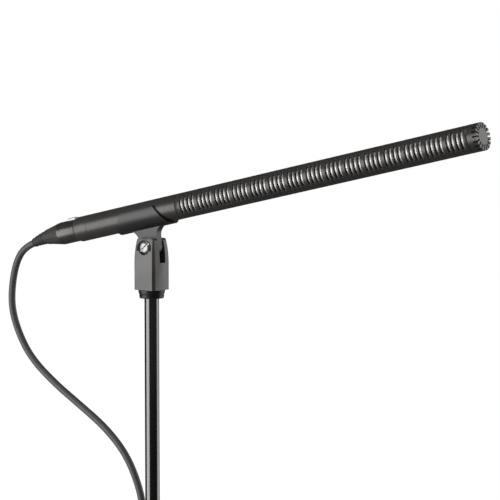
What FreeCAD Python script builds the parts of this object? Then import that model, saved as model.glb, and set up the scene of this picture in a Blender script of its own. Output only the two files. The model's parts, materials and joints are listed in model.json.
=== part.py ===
import FreeCAD, Part
import math
import os

from FreeCAD import Vector as V

os.makedirs("parts", exist_ok=True)

# Shotgun microphone in a swivel clip on top of a two-section boom pole, with its lead tied to the pole.
# Millimetres. The origin is the mouth of the threaded socket in the pole's butt end, +Z runs up the pole
# and the microphone points towards +X. Threads are plain cylinders.

# ---- driving dimensions: pole
OUTER_R, OUTER_BORE = 8.0, 7.0          # lower section, 16 mm tube with a 1 mm wall
UPPER_R, UPPER_BORE = 6.0, 5.0          # upper section, 12 mm tube with a 1 mm wall
OUTER_TOP = 270.0                       # top of the lower section
BONDED_R = 7.7                          # its outside where the lock body is bonded on
BUTT_FLANGE = 6.0                       # height of the butt cap's flange
SOCKET_R, SOCKET_DEPTH = 3.97, 16.0     # 3/8-16 tapping hole
INSERT_R = 5.75                         # brass insert that holds that thread
STUD_R = 4.76                           # 3/8 inch stud
UPPER_FOOT = 50.0                       # lower end of the upper tube
LOCK_FOOT = OUTER_TOP - 22.0            # lock body
LOCK_BASE = OUTER_TOP - 14.0            # twist sleeve
LOCK_TOP = OUTER_TOP + 26.0
LOCK_R, LOCK_THREAD_R = 12.0, 10.4
COLLET_BASE, COLLET_LEN = OUTER_TOP + 3.1, 15.0
COLLET_LOW_R, COLLET_TOP_R = 10.0, 8.2
BUSH_LEN = 20.0                         # guide bush on the upper tube's foot
RUNNING = 0.05                          # radial clearance of a running fit
PRESSED = 0.02                          # radial gap drawn between pieces that are pressed or bonded

# ---- driving dimensions: clip and its yoke, measured from the pivot
PIVOT_Z = 716.0
TILT = 12.0                             # the microphone's nose stands this many degrees up
YOKE_BASE, YOKE_TOP = -35.0, 7.3
YOKE_HALF_Y = 10.75
YOKE_RIDGE = 12.07                      # front and back faces meet in a shallow ridge at this X
RIDGE_ANGLE = 7.0
YOKE_CHAMFER = 2.0
TAPER_START, TAPER_R = -12.9, 85.0      # the four sides curve inwards above this height
SLOT_W, SLOT_FLOOR = 7.2, -12.6
TONGUE_W, TONGUE_R = 6.4, 9.5
SCREW_R, HEAD_R, NUT_HALF = 2.5, 5.5, 4.0
SCREW_SLOT_TURN = -38.0
COLLAR_H, COLLAR_TOP_R, COLLAR_LOW_R = 7.0, 11.15, 9.9
STUD_SEAT = -40.0                       # the upper tube's end, where the stud starts
INSERT_TOP = -19.0                      # threaded insert in the yoke's foot

# ---- driving dimensions: microphone, measured from the pivot before it is tilted
AXIS_H = 27.2                           # the microphone's axis above the pivot
NOSE_X = 321.8                          # its front face ahead of the pivot
MIC_LEN, MIC_R, MIC_BORE = 395.0, 10.5, 9.3
CAP_LEN, CAP_NOTCHES = 8.0, 18
SLOTS_PER_GROUP, GROUPS = 4, 15
FIRST_SLOT, SLOT_PITCH, GROUP_PITCH = 12.5, 4.0, 18.0
SLOT_LEN, SLOT_HALF_ANGLE = 2.2, 43.0
TUBE_END = 283.0                        # where the slotted tube meets the rear housing
CRADLE_IN, CRADLE_OUT = 10.55, 12.5
CRADLE_HALF_LOW, CRADLE_HALF_TOP, CRADLE_TOP = 29.0, 17.0, 4.7

# ---- driving dimensions: connectors and lead
SHELL_R, SHELL_LEN = 9.5, 19.4
BARREL_LEN, BARREL_END_R = 17.7, 6.1
BOOT_LEN, BOOT_END_R, BOOT_DROOP = 17.0, 3.7, 8.0
PIN_R, PIN_CIRCLE = 1.2, 4.1
LEAD_R = 3.0
HANK_Z, HANK_HALF, HANK_FOLD_R, HANK_WAIST = 394.0, 56.0, 27.0, 13.0
WAIST_HALF = 12.0                       # half length of the waist's straight middle
HANK_FRONT, HANK_BACK = -6.6, -25.6
KEEPER_Z = 481.0                        # lower edge of the strap above the hank
HANK_LOW = HANK_Z - HANK_HALF - HANK_FOLD_R
HANK_HIGH = HANK_Z + HANK_HALF + HANK_FOLD_R
LINE_PLUG_X, LINE_PLUG_TOP = -27.0, HANK_LOW - 30.0


# ---- helpers
def zrod(r, z0, z1):
    """Cylinder on the pole's axis."""
    return Part.makeCylinder(r, z1 - z0, V(0, 0, z0))


def ztube(r_out, r_in, z0, z1):
    return zrod(r_out, z0, z1).cut(zrod(r_in, z0 - 1, z1 + 1))


def zcone(r0, r1, z0, z1):
    return Part.makeCone(r0, r1, z1 - z0, V(0, 0, z0))


def xrod(r, s0, s1):
    """Cylinder on the microphone's axis, from s0 to s1 behind its front face."""
    return Part.makeCylinder(r, s1 - s0, V(NOSE_X - s1, 0, AXIS_H), V(1, 0, 0))


def xtube(r_out, r_in, s0, s1):
    return xrod(r_out, s0, s1).cut(xrod(r_in, s0 - 1, s1 + 1))


def xcone(r_front, r_back, s0, s1):
    return Part.makeCone(r_back, r_front, s1 - s0, V(NOSE_X - s1, 0, AXIS_H), V(1, 0, 0))


def xbox(s0, s1, y0, y1, z0, z1):
    """Box beside the microphone's axis; z0 and z1 are heights above that axis."""
    return Part.makeBox(s1 - s0, y1 - y0, z1 - z0, V(NOSE_X - s1, y0, AXIS_H + z0))


def yrod(r, y0, y1, x=0.0, z=0.0):
    return Part.makeCylinder(r, y1 - y0, V(x, y0, z), V(0, 1, 0))


def prism(edges, direction):
    """Solid swept from a closed outline of edges."""
    return Part.Face(Part.Wire(edges)).extrude(direction)


def line(a, b):
    return Part.LineSegment(a, b).toShape()


def arc(a, middle, b):
    return Part.Arc(a, middle, b).toShape()


def turned(shape, angle, axis, centre=V(0, 0, 0)):
    copy = shape.copy()
    copy.rotate(centre, axis, angle)
    return copy


def around(shape, count, axis, centre=V(0, 0, 0), start=0.0):
    """Copies of a shape turned evenly about an axis."""
    return [turned(shape, start + 360.0 * i / count, axis, centre) for i in range(count)]


def on_pivot(shape):
    """Lifts a shape that is drawn about the pivot to the pivot's height."""
    copy = shape.copy()
    copy.translate(V(0, 0, PIVOT_Z))
    return copy


def tilted(shape):
    """Tilts a shape that is drawn about the pivot nose up, and lifts it there."""
    return on_pivot(turned(shape, -TILT, V(0, 1, 0)))


def save(name, shape, place=None):
    placed = place(shape) if place else shape
    placed.exportStep("parts/%s.step" % name)
    solids = len(placed.Solids)
    print("%-20s solids %d volume %10.2f valid %s" % (name, solids, placed.Volume, placed.isValid()))


# ---- pole, lower section
def butt_cap():
    flange = zcone(OUTER_R - 1.2, OUTER_R, 0, 1.2).fuse(zrod(OUTER_R, 1.2, BUTT_FLANGE))
    plug = zrod(OUTER_BORE - PRESSED, BUTT_FLANGE, 28)
    return flange.fuse(plug).cut(zrod(INSERT_R + 0.05, -1, 29)).removeSplitter()


def butt_insert():
    socket = zrod(SOCKET_R, -1, SOCKET_DEPTH)
    return zrod(INSERT_R, 0, 24).cut(socket)


def outer_tube():
    """Lower tube, turned down a little where the lock body sits."""
    grip = ztube(OUTER_R, OUTER_BORE, BUTT_FLANGE, LOCK_FOOT)
    return grip.fuse(ztube(BONDED_R, OUTER_BORE, LOCK_FOOT, OUTER_TOP)).removeSplitter()


def lock_body():
    """Threaded collar bonded round the tube's mouth, with a seat for the collet."""
    collar = ztube(LOCK_THREAD_R, BONDED_R + PRESSED, LOCK_FOOT + PRESSED, OUTER_TOP)
    rim = ztube(LOCK_THREAD_R, UPPER_R + 0.4, OUTER_TOP, COLLET_BASE - 0.1)
    flange = ztube(LOCK_R, LOCK_THREAD_R - 0.1, LOCK_FOOT + PRESSED, LOCK_BASE - 1)
    return collar.fuse([rim, flange]).removeSplitter()


def collet():
    """Split cone that the sleeve squeezes onto the upper tube."""
    cone = zcone(COLLET_LOW_R, COLLET_TOP_R, COLLET_BASE, COLLET_BASE + COLLET_LEN)
    body = cone.cut(zrod(UPPER_R + RUNNING, COLLET_BASE - 1, COLLET_BASE + COLLET_LEN + 1))
    slit = Part.makeBox(12, 1.0, 12, V(0, -0.5, COLLET_BASE + 4))
    return body.cut(around(slit, 6, V(0, 0, 1)))


def lock_sleeve():
    """Twist sleeve: a thread below, a cone that closes the collet, and a bevelled mouth."""
    lip = 2.0
    seat_top = COLLET_BASE + COLLET_LEN
    gap = 0.35
    body = zrod(LOCK_R, LOCK_BASE, LOCK_TOP - lip).fuse(zcone(LOCK_R, LOCK_R - lip, LOCK_TOP - lip, LOCK_TOP))
    thread = zrod(LOCK_THREAD_R + RUNNING, LOCK_BASE - 1, COLLET_BASE)
    seat = zcone(COLLET_LOW_R + gap, COLLET_TOP_R + gap, COLLET_BASE, seat_top + gap)
    mouth = zrod(UPPER_R + 0.5, seat_top, LOCK_TOP + 1)
    return body.cut([thread, seat, mouth]).removeSplitter()


def lock_grip():
    """Ribbed rubber band round the sleeve."""
    rib_r, ribs = 13.4, 24
    sleeve = ztube(rib_r, LOCK_R, LOCK_BASE + 5, LOCK_TOP - 7)
    groove = Part.makeCylinder(0.9, LOCK_TOP - LOCK_BASE, V(rib_r + 0.2, 0, LOCK_BASE))
    return sleeve.cut(around(groove, ribs, V(0, 0, 1)))


# ---- pole, upper section
def guide_bush():
    """Sliding bush that keeps the upper tube central in the lower one."""
    return ztube(OUTER_BORE - RUNNING, UPPER_R + RUNNING, UPPER_FOOT, UPPER_FOOT + BUSH_LEN)


def upper_tube():
    return ztube(UPPER_R, UPPER_BORE, UPPER_FOOT, PIVOT_Z + STUD_SEAT)


def tube_end_plug():
    flange = zrod(6.8, UPPER_FOOT - 4, UPPER_FOOT - 0.1)
    spigot = zrod(UPPER_BORE - PRESSED, UPPER_FOOT - 0.1, UPPER_FOOT + 12)
    return flange.fuse(spigot).removeSplitter()


def bush_retainer():
    """Ring that keeps the bush on the upper tube's foot."""
    foot = UPPER_FOOT + BUSH_LEN + 0.1
    return ztube(6.85, UPPER_R + PRESSED, foot, foot + 2.9)


def tip_stud():
    """Brass fitting pressed into the upper tube, with the stud that carries the yoke."""
    spigot = zrod(UPPER_BORE - PRESSED, STUD_SEAT - 22, STUD_SEAT)
    return spigot.fuse(zrod(STUD_R, STUD_SEAT, STUD_SEAT + 20)).removeSplitter()


def lock_collar():
    """Tapered ring nut under the yoke, with a groove round its middle."""
    low = YOKE_BASE - COLLAR_H
    body = zcone(COLLAR_LOW_R, COLLAR_TOP_R, low, YOKE_BASE - 0.02)
    groove = ztube(13, COLLAR_LOW_R + 0.1, low + 2.6, low + 3.4)
    bore = zrod(UPPER_R + PRESSED, low - 1, STUD_SEAT + 0.05)
    return body.cut([groove, bore, zrod(STUD_R + RUNNING, low, YOKE_BASE + 1)])


# ---- yoke and pivot, drawn about the pivot
def tapered_slab(half, angle):
    """Upright slab of the given half thickness whose two faces curve inwards above TAPER_START."""
    reach = 40.0
    rise = YOKE_TOP - TAPER_START
    inset = TAPER_R - math.sqrt(TAPER_R ** 2 - rise ** 2)
    mid_inset = TAPER_R - math.sqrt(TAPER_R ** 2 - (rise / 2) ** 2)
    mid_z = TAPER_START + rise / 2
    low, start, mid, top = [], [], [], []
    for side in (1, -1):
        low.append(V(side * half, -reach, YOKE_BASE))
        start.append(V(side * half, -reach, TAPER_START))
        mid.append(V(side * (half - mid_inset), -reach, mid_z))
        top.append(V(side * (half - inset), -reach, YOKE_TOP))
    edges = [line(low[0], start[0]), arc(start[0], mid[0], top[0]), line(top[0], top[1])]
    edges += [arc(top[1], mid[1], start[1]), line(start[1], low[1]), line(low[1], low[0])]
    return turned(prism(edges, V(0, 2 * reach, 0)), angle, V(0, 0, 1))


def rounded_top(radius):
    """Side profile that rounds the two prongs' front and rear top corners."""
    half = 9.4
    box = Part.makeBox(60, 60, 60, V(-30, -30, YOKE_TOP - 60))
    corner = Part.makeBox(30, 60, radius, V(half - radius, -30, YOKE_TOP - radius))
    round_off = corner.cut(yrod(radius, -31, 31, half - radius, YOKE_TOP - radius))
    return box.cut([round_off, turned(round_off, 180, V(0, 0, 1))])


def yoke():
    """Slotted block with a shallow ridge at front and back, chamfered corners and a dished screw seat."""
    ridge = math.radians(RIDGE_ANGLE)
    face = YOKE_RIDGE * math.cos(ridge)
    corner_x = YOKE_RIDGE - (YOKE_HALF_Y - YOKE_CHAMFER) * math.tan(ridge)
    corner = (corner_x + YOKE_HALF_Y - YOKE_CHAMFER) / math.sqrt(2)
    body = tapered_slab(face, RIDGE_ANGLE).common(tapered_slab(face, -RIDGE_ANGLE))
    body = body.common(tapered_slab(YOKE_HALF_Y, 90))
    for angle in (45, -45):
        body = body.common(tapered_slab(corner, angle))
    body = body.common(rounded_top(3.0))
    slot = Part.makeBox(60, SLOT_W, 60, V(-30, -SLOT_W / 2, SLOT_FLOOR))
    socket = zrod(6.6, YOKE_BASE - 1, INSERT_TOP + 0.1)
    dish = Part.makeCone(8.2, 6.2, 1.4, V(0, -YOKE_HALF_Y + 0.6, 0), V(0, 1, 0))
    recess = yrod(6.2, -YOKE_HALF_Y, -7.5)
    nut_pocket = hexagon(NUT_HALF + RUNNING, 6.0, 11.0)
    return body.cut([slot, socket, dish, recess, yrod(SCREW_R + RUNNING, -12, 12), nut_pocket])


def hexagon(across_half, y0, y1):
    """Hexagonal bar on the pivot's axis."""
    reach = across_half / math.cos(math.radians(30))
    corners = []
    for i in range(7):
        turn = math.radians(60 * i)
        corners.append(V(reach * math.cos(turn), y0, reach * math.sin(turn)))
    edges = [line(corners[i], corners[i + 1]) for i in range(6)]
    return prism(edges, V(0, y1 - y0, 0))


def yoke_insert():
    """Threaded sleeve moulded into the yoke's foot."""
    return ztube(6.6 - PRESSED, STUD_R + RUNNING, YOKE_BASE, INSERT_TOP)


def friction_washers():
    """Two thin discs between the clip's tongue and the prongs."""
    gap = (SLOT_W - TONGUE_W) / 2
    pair = []
    for y0 in (-SLOT_W / 2, TONGUE_W / 2 + 0.03):
        disc = yrod(7.5, y0, y0 + gap - 0.03)
        pair.append(disc.cut(yrod(SCREW_R + 0.1, y0 - 1, y0 + 2)))
    return Part.makeCompound(pair)


def pivot_screw():
    """Slotted pan head and shank, fitted from the near side."""
    head = yrod(HEAD_R, -10.1, -7.55)
    dome = Part.makeSphere(9.0, V(0, -1.8, 0))
    slot = turned(Part.makeBox(14, 2.1, 1.4, V(-7, -11.0, -0.7)), SCREW_SLOT_TURN, V(0, 1, 0))
    shank = yrod(SCREW_R, -7.6, 9.3)
    return head.common(dome).cut(slot).fuse(shank).removeSplitter()


def pivot_nut():
    return hexagon(NUT_HALF, 6.05, 9.4).cut(yrod(SCREW_R + RUNNING, 5, 11))


# ---- clip, drawn about the pivot
def clip_web():
    """Tongue that turns between the prongs and widens into the cradle."""
    neck, flare, top = 7.5, 14.5, 15.6
    right = [V(TONGUE_R, 0, neck), V(TONGUE_R + 1.4, 0, neck + 4.0), V(flare, 0, top - 0.8)]
    left = [V(-p.x, 0, p.z) for p in right]
    edges = [arc(V(-TONGUE_R, 0, 0), V(0, 0, -TONGUE_R), V(TONGUE_R, 0, 0))]
    edges += [line(V(TONGUE_R, 0, 0), right[0]), arc(*right), line(right[2], V(flare, 0, top))]
    edges += [line(V(flare, 0, top), V(-flare, 0, top)), line(V(-flare, 0, top), left[2])]
    edges += [arc(left[2], left[1], left[0]), line(left[0], V(-TONGUE_R, 0, 0))]
    web = prism(edges, V(0, TONGUE_W, 0))
    web.translate(V(0, -TONGUE_W / 2, 0))
    return web


def clip_cradle():
    """Springy half ring on the web; its ends slope in towards the top."""
    s0, s1 = NOSE_X - CRADLE_HALF_LOW - 2, NOSE_X + CRADLE_HALF_LOW + 2
    low = AXIS_H - CRADLE_OUT - 1
    high = AXIS_H + CRADLE_TOP
    points = [V(-CRADLE_HALF_LOW, -20, low), V(CRADLE_HALF_LOW, -20, low)]
    points += [V(CRADLE_HALF_TOP, -20, high), V(-CRADLE_HALF_TOP, -20, high)]
    outline = [line(points[i], points[(i + 1) % 4]) for i in range(4)]
    cradle = xtube(CRADLE_OUT, CRADLE_IN, s0, s1).common(prism(outline, V(0, 40, 0)))
    web = clip_web().cut(xrod(CRADLE_IN, s0, s1))
    clip = cradle.fuse(web).removeSplitter()
    return clip.cut(yrod(SCREW_R + RUNNING, -5, 5))


# ---- microphone, front part
def front_cap():
    """Flat nose with radial notches that open into the hollow behind it."""
    body = xrod(MIC_R, 0, CAP_LEN).fuse(xrod(MIC_BORE - 0.03, CAP_LEN, CAP_LEN + 3))
    body = body.cut(xrod(8.0, 2.0, CAP_LEN + 4))
    notch = xbox(-1, 3.6, -0.65, 0.65, 6.2, 12)
    centre = V(0, 0, AXIS_H)
    return body.cut(around(notch, CAP_NOTCHES, V(1, 0, 0), centre, 10.0)).removeSplitter()


def front_screen():
    return xrod(7.95, 4.2, 4.8)


def interference_tube():
    """Tube with groups of slots through both sides, and a solid spine along its top and bottom."""
    tube = xtube(MIC_R, MIC_BORE, CAP_LEN + 0.02, TUBE_END)
    half = MIC_R * math.sin(math.radians(SLOT_HALF_ANGLE))
    slots = []
    for group in range(GROUPS):
        for index in range(SLOTS_PER_GROUP):
            middle = FIRST_SLOT + GROUP_PITCH * group + SLOT_PITCH * index
            bar = xbox(middle - SLOT_LEN / 2, middle + SLOT_LEN / 2, -12, 12, -half, half)
            across = [e for e in bar.Edges if abs(e.tangentAt(e.FirstParameter).y) > 0.9]
            slots.append(bar.makeFillet(0.7, across))
    return tube.cut(Part.makeCompound(slots))


def mesh_liner():
    return xtube(MIC_BORE - 0.05, 8.85, CAP_LEN + 3.1, TUBE_END - 4.2)


def damping_tube():
    return xtube(8.8, 7.4, CAP_LEN + 3.5, TUBE_END - 4.2)


# ---- microphone, capsule and rear part
def capsule_housing():
    """Ring that joins the slotted tube to the rear housing and holds the capsule."""
    ring = xtube(MIC_BORE - PRESSED, 8.2, TUBE_END - 4, 300)
    stop = xtube(8.3, 6.6, 292, 294)
    return ring.fuse(stop).removeSplitter()


def clamp_ring():
    return xtube(8.15, 6.8, 280.5, 282.4)


def diaphragm():
    """Foil stretched on its ring."""
    ring = xtube(8.15, 7.2, 282.45, 283.6)
    return ring.fuse(xrod(7.3, 283.45, 283.6)).removeSplitter()


def spacer_ring():
    return xtube(8.15, 7.0, 283.62, 283.87)


def backplate():
    plate = xrod(6.6, 283.9, 285.5)
    hole = Part.makeCylinder(0.55, 4, V(NOSE_X - 287, 0, AXIS_H + 4.2), V(1, 0, 0))
    return plate.cut(around(hole, 12, V(1, 0, 0), V(0, 0, AXIS_H)))


def backplate_holder():
    """Insulating cup behind the backplate, with the capsule's rear vents."""
    cup = xrod(8.15, 283.9, 291.9).cut(xrod(6.65, 283, 285.55))
    vent = Part.makeCylinder(1.0, 20, V(NOSE_X - 295, 0, AXIS_H + 4.2), V(1, 0, 0))
    vents = around(vent, 8, V(1, 0, 0), V(0, 0, AXIS_H))
    return cup.cut(vents + [xrod(0.85, 283, 295)])


def capsule_contact():
    return xrod(0.8, 285.55, 301.5)


def rear_housing():
    """Solid-walled rear tube that ends in the round connector socket."""
    shell = xtube(MIC_R, MIC_BORE, TUBE_END + 0.02, MIC_LEN)
    socket = xtube(MIC_BORE + 0.1, 8.25, 379, MIC_LEN)
    bevel = xcone(MIC_R + 1.0, MIC_R - 0.5, MIC_LEN - 1.5, MIC_LEN)
    body = shell.fuse(socket).removeSplitter()
    outer = xrod(MIC_R + 1, TUBE_END, MIC_LEN - 1.5).fuse(bevel)
    screw_hole = Part.makeCylinder(1.05, 6, V(NOSE_X - 375, 0, AXIS_H - 12), V(0, 0, 1))
    return body.common(outer).cut(screw_hole)


def board():
    return xbox(302.5, 366, -8, 8, -2.8, -1.2)


def board_carriers():
    """Two rings that hold the circuit board in the housing."""
    rings = []
    for s0 in (304, 361):
        ring = xtube(MIC_BORE - PRESSED, 7.6, s0, s0 + 3)
        rings.append(ring.cut(xbox(300, 370, -8.05, 8.05, -2.85, -1.15)))
    return Part.makeCompound(rings)


def board_components():
    """Capacitors, chips and resistors standing on the board."""
    top = -1.18
    parts = []
    for s, y in ((312, -3.6), (312, 3.4), (321, -3.8)):
        foot = V(NOSE_X - s, y, AXIS_H + top)
        parts.append(Part.makeCylinder(2.5, 5.4, foot))
    for s, y in ((320, 1.2), (329, -5.6), (329, 1.4)):
        parts.append(xbox(s, s + 5.2, y, y + 4.2, top, top + 1.8))
    for i in range(4):
        foot = V(NOSE_X - 338 - 2.6 * i, -3, AXIS_H + top + 1.0)
        parts.append(Part.makeCylinder(0.95, 6, foot, V(0, 1, 0)))
    return Part.makeCompound(parts)


def output_transformer():
    core = xbox(348.5, 359.5, -5.4, 5.4, -1.18, 5.6)
    window = xbox(350.5, 357.5, -6, 6, 0.6, 3.8)
    coil = xbox(350.7, 357.3, -3.6, 3.6, 0.2, 4.2)
    return core.cut(window).fuse(coil).removeSplitter()


def pin_places():
    """Distances from the axis of a three-pole connector's contacts."""
    places = []
    for angle in (150, 30, 270):
        turn = math.radians(angle)
        places.append((PIN_CIRCLE * math.cos(turn), PIN_CIRCLE * math.sin(turn)))
    return places


def xpins(r, s0, s1):
    pins = []
    for y, z in pin_places():
        pins.append(Part.makeCylinder(r, s1 - s0, V(NOSE_X - s1, y, AXIS_H + z), V(1, 0, 0)))
    return pins


def socket_insert():
    disc = xrod(MIC_BORE - 0.03, 371, 378.9).cut(xpins(PIN_R + PRESSED, 369, 380))
    screw_seat = Part.makeCylinder(1.05, 4, V(NOSE_X - 375, 0, AXIS_H - 10), V(0, 0, 1))
    return disc.cut(screw_seat)


def socket_pins():
    return Part.makeCompound(xpins(PIN_R, 367.5, 389))


def socket_screw():
    return Part.makeCylinder(1.0, 3.6, V(NOSE_X - 375, 0, AXIS_H - 10.2), V(0, 0, 1))


# ---- plug on the microphone's end of the lead
PLUG = MIC_LEN + 0.1
SHELL_END = PLUG + SHELL_LEN
BARREL_END = SHELL_END + BARREL_LEN
LATCH_S0, LATCH_S1 = PLUG + 2.0, PLUG + 10.0


def plug_shell():
    tube = xtube(SHELL_R, 8.05, PLUG, SHELL_END)
    window = xbox(LATCH_S0 - 0.4, LATCH_S1 + 0.4, -2.9, 2.9, 5, 12)
    return tube.cut(window)


def plug_insert():
    """Contact carrier: its nose stands in the microphone's socket."""
    body = xrod(7.95, 379.6, PLUG + 13)
    pocket = xbox(LATCH_S0 - 0.6, LATCH_S1 + 0.6, -3.1, 3.1, 6.3, 9)
    return body.cut(xpins(1.62, 379, PLUG + 14) + [pocket])


def plug_contacts():
    sleeves = []
    outer = xpins(1.6, 379.8, PLUG + 15)
    inner = xpins(PIN_R + RUNNING, 379, 390)
    for sleeve, hole in zip(outer, inner):
        sleeves.append(sleeve.cut(hole))
    return Part.makeCompound(sleeves)


def latch_tab():
    """Thumb tab that frees the plug; it stands proud of the shell."""
    tab = xbox(LATCH_S0, LATCH_S1, -2.5, 2.5, 8.3, 11.2)
    edges = [e for e in tab.Edges if min(v.Z for v in e.Vertexes) > AXIS_H + 11]
    return tab.makeFillet(0.6, edges)


def latch_spring():
    """Bent leaf under the tab."""
    leaf = xbox(LATCH_S0 + 0.5, LATCH_S1 - 0.5, -1.5, 1.5, 6.35, 6.65)
    riser = xbox(LATCH_S0 + 0.5, LATCH_S0 + 0.9, -1.5, 1.5, 6.35, 8.25)
    return leaf.fuse(riser).removeSplitter()


def plug_chuck():
    """Split cone that grips the lead."""
    body = xcone(6.4, 4.6, SHELL_END - 3, BARREL_END - 2)
    slit = xbox(SHELL_END - 4, BARREL_END - 8, -0.5, 0.5, 0, 8)
    bore = xrod(LEAD_R + 0.05, SHELL_END - 4, BARREL_END)
    return body.cut([bore] + around(slit, 4, V(1, 0, 0), V(0, 0, AXIS_H), 45))


def plug_barrel():
    outer = xcone(9.3, BARREL_END_R + 0.3, SHELL_END + 0.1, BARREL_END)
    inner = xcone(6.9, 4.8, SHELL_END - 1, BARREL_END + 0.5)
    return outer.cut(inner)


def plug_boot():
    """Flexible sleeve that droops a little under the lead's weight."""
    start = V(NOSE_X - BARREL_END - 0.05, 0, AXIS_H)
    root = 1.0
    slope = (BARREL_END_R - BOOT_END_R) / BOOT_LEN
    head = start + V(root, 0, 0)
    body = Part.makeCone(BARREL_END_R + slope * root, BOOT_END_R, BOOT_LEN + root, head, V(-1, 0, 0))
    body = body.cut(Part.makeCylinder(LEAD_R + PRESSED, root + 3, head, V(-1, 0, 0)))
    barrel_side = xbox(BARREL_END - 5, BARREL_END + 0.05, -9, 9, -9, 9)
    return turned(body, -BOOT_DROOP, V(0, 1, 0), start).cut(barrel_side)


# ---- the lead
def boot_tip():
    """End of the boot on the finished part, where the lead's free stretch starts."""
    droop = math.radians(BOOT_DROOP)
    reach = BOOT_LEN + 0.1
    x = NOSE_X - BARREL_END - 0.05 - reach * math.cos(droop)
    z = AXIS_H - reach * math.sin(droop)
    up, along = math.sin(math.radians(TILT)), math.cos(math.radians(TILT))
    return V(x * along - z * up, 0, PIVOT_Z + x * up + z * along)


# Free stretch from the boot, out and down, then in to the pole and down it into the hank: X and Z.
DROP = [(-140.4, 709.9), (-150.6, 698.0), (-156.4, 677.0), (-157.2, 655.0), (-147.8, 632.0),
        (-133.0, 612.4), (-106.4, 593.4), (-78.0, 577.4), (-50.0, 561.0), (-28.0, 541.0),
        (-14.8, 517.0), (-9.8, 497.0), (-9.8, HANK_HIGH)]

# Tail from the hank's lower fold to the line plug: X and Z.
TAIL = [(-22.2, HANK_LOW), (-22.2, 301.6), (LINE_PLUG_X, 290.4), (LINE_PLUG_X, LINE_PLUG_TOP)]


def lead(name, points, radius):
    """Round tube along straight runs that are joined by tangent arcs."""
    edges = []
    here = points[0]
    radii = []
    for before, corner, after in zip(points, points[1:], points[2:]):
        back = (before - corner).normalize()
        ahead = (after - corner).normalize()
        half_turn = (math.pi - back.getAngle(ahead)) / 2
        reach = 0.45 * min((before - corner).Length, (after - corner).Length)
        radii.append(reach / math.tan(half_turn))
        start = corner + back * reach
        end = corner + ahead * reach
        bisector = (back + ahead).normalize()
        centre = corner + bisector * (radii[-1] / math.cos(half_turn))
        middle = centre - bisector * radii[-1]
        edges.append(line(here, start))
        edges.append(arc(start, middle, end))
        here = end
    edges.append(line(here, points[-1]))
    path = Part.Wire(edges)
    direction = (points[1] - points[0]).normalize()
    profile = Part.Wire(Part.makeCircle(radius, points[0], direction))
    tube = path.makePipeShell([profile], True, False)
    section = math.pi * radius ** 2
    print("%s length %.1f volume ratio %.4f" % (name, path.Length, tube.Volume / section / path.Length))
    print("  radii " + " ".join("%.0f" % r for r in radii))
    return tube


def cable_drop():
    points = [boot_tip()] + [V(x, 0, z) for x, z in DROP]
    return lead("cable_drop", points, LEAD_R)


def cable_tail():
    return lead("cable_tail", [V(x, 0, z) for x, z in TAIL], LEAD_R)


def hank_outline():
    """Outline of the folded lead seen along the microphone: two round folds and a straight waist."""
    ease = (HANK_HALF - WAIST_HALF) / 2
    edges = []
    for side in (1, -1):
        top = HANK_Z + side * HANK_HALF
        waist_end = HANK_Z + side * WAIST_HALF
        tip = V(HANK_BACK, 0, top + side * HANK_FOLD_R)
        edges.append(arc(V(HANK_BACK, HANK_FOLD_R, top), tip, V(HANK_BACK, -HANK_FOLD_R, top)))
        flank = side * HANK_WAIST
        edges.append(line(V(HANK_BACK, flank, waist_end), V(HANK_BACK, flank, 2 * HANK_Z - waist_end)))
        for wide, narrow in ((HANK_FOLD_R, HANK_WAIST), (-HANK_FOLD_R, -HANK_WAIST)):
            poles = [V(HANK_BACK, wide, top), V(HANK_BACK, wide, top - side * ease)]
            poles += [V(HANK_BACK, narrow, waist_end + side * ease), V(HANK_BACK, narrow, waist_end)]
            curve = Part.BezierCurve()
            curve.setPoles(poles)
            edges.append(curve.toShape())
    return edges


def cable_hank():
    """The folded rest of the lead, as the solid that holds all its turns."""
    outline = Part.Wire(Part.__sortEdges__(hank_outline()))
    return Part.Face(outline).extrude(V(HANK_FRONT - HANK_BACK, 0, 0))


def band(x0, x1, half_y, z0, z1, thick, bend):
    """Flat strap round the pole: a rounded rectangle seen from above."""
    def block(grow):
        corner = V(x0 - grow, -half_y - grow, z0)
        box = Part.makeBox(x1 - x0 + 2 * grow, 2 * (half_y + grow), z1 - z0, corner)
        upright = [e for e in box.Edges if abs(e.Vertexes[0].Z - e.Vertexes[-1].Z) > 1]
        return box.makeFillet(bend + grow, upright)
    return block(thick).cut(block(0.0))


def hank_strap():
    """Hook and loop strap round the hank's waist and the pole."""
    slack = 0.3
    return band(HANK_BACK - slack, UPPER_R + slack, HANK_WAIST + slack, HANK_Z - 10, HANK_Z + 10, 1.4, 0.7)


def keeper_strap():
    """Narrow strap that holds the lead against the pole above the hank."""
    slack = 0.3
    return band(-13.6, UPPER_R + slack, UPPER_R + slack, KEEPER_Z, KEEPER_Z + 12, 1.3, 5.0)


# ---- line plug on the lead's far end, drawn with its nose down
def at_line_plug(shape):
    copy = shape.copy()
    copy.translate(V(LINE_PLUG_X, 0, LINE_PLUG_TOP))
    return copy


def zpins(r, z0, z1):
    pins = []
    for x, y in pin_places():
        pins.append(Part.makeCylinder(r, z1 - z0, V(x, y, z0)))
    return pins


def line_boot():
    return zcone(5.6, BOOT_END_R, -22, -0.05).cut(zrod(LEAD_R + PRESSED, -23, -19))


def line_barrel():
    return zcone(8.6, 5.9, -40, -22.05).cut(zcone(6.9, 4.6, -41, -21))


def line_chuck():
    body = zcone(6.2, 4.4, -42, -24).cut(zrod(LEAD_R + 0.05, -43, -23))
    slit = Part.makeBox(8, 1.0, 12, V(0, -0.5, -43))
    return body.cut(around(slit, 4, V(0, 0, 1)))


def line_shell():
    return ztube(SHELL_R, 8.05, -84, -40.05)


def line_insert():
    return zrod(8.0, -70, -58).cut(zpins(PIN_R + PRESSED, -71, -57))


def line_pins():
    return Part.makeCompound(zpins(PIN_R, -82, -54))


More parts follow.
